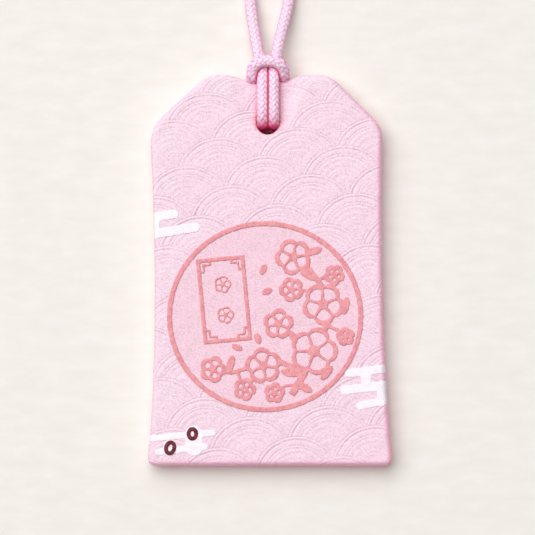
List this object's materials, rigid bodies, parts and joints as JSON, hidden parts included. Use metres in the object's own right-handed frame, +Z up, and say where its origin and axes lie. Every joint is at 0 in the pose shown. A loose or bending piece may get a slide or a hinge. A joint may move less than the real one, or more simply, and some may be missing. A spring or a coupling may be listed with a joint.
{
  "type": "omamori charm",
  "caption": "Flat brocade charm pouch with chamfered shoulders around a paper-wrapped tablet, with a braided cord loop hitched through its hole.",
  "frame": {"origin": "centre of the held charm's box on the surface that it lies on, without the free cord", "axes": "+Z up through the pouch's thickness, +Y from the base towards the cord, +X to the right seen from the front"},
  "size_m": [0.0468, 0.1354, 0.0074],
  "materials": {
    "front_brocade": "pale pink jacquard with a raised overlapping-wave ground",
    "back_brocade": "pale pink jacquard with a raised overlapping-wave ground",
    "interlining": "white fused interlining",
    "card": "uncoated stiff card",
    "paper": "white handmade paper",
    "tablet_wood": "planed bare softwood",
    "sewing_thread": "spun polyester thread",
    "coral_thread": "coral figure threads with a soft lustre",
    "mist_thread": "white figure threads",
    "dark_red_thread": "dark red satin-stitched thread",
    "braided_cord": "round braided cord with a silky lustre"
  },
  "bodies": {
    "pouch": {"front_panel": "front_brocade", "back_panel": "back_brocade", "front_interlining": "interlining", "back_interlining": "interlining", "folded_card": "card", "paper_sleeve": "paper", "prayer_tablet": "tablet_wood", "side_seam_thread_left": "sewing_thread", "side_seam_thread_right": "sewing_thread", "base_seam_thread": "sewing_thread", "shoulder_seam_thread_left": "sewing_thread", "shoulder_seam_thread_right": "sewing_thread", "medallion_ring": "coral_thread", "cartouche_frame": "coral_thread", "cartouche_blossom_lower": "coral_thread", "cartouche_blossom_upper": "coral_thread", "blossom_spray": "coral_thread", "loose_petal_1": "coral_thread", "loose_petal_2": "coral_thread", "loose_petal_3": "coral_thread", "loose_petal_4": "coral_thread", "mist_band_left": "mist_thread", "mist_band_right": "mist_thread", "mist_band_base": "mist_thread", "oval_ring_left": "dark_red_thread", "oval_ring_right": "dark_red_thread", "cord_hitch": "braided_cord"},
    "cord_neck": {"cord_neck_left": "braided_cord", "cord_neck_right": "braided_cord"},
    "cord_loop": {"cord_strand_left": "braided_cord", "cord_strand_right": "braided_cord", "cord_knot": "braided_cord"}
  },
  "joints": [
    {"name": "loop_fold", "type": "hinge", "parent": "pouch", "child": "cord_neck", "pos_m": [-0.0004, 0.044, 0.0048], "axis": [1, 0, 0], "range_deg": [0, 175]},
    {"name": "loop_swing", "type": "hinge", "parent": "cord_neck", "child": "cord_loop", "pos_m": [-0.0004, 0.044, 0.0048], "axis": [0, 0, 1], "range_deg": [-20, 20]}
  ]
}
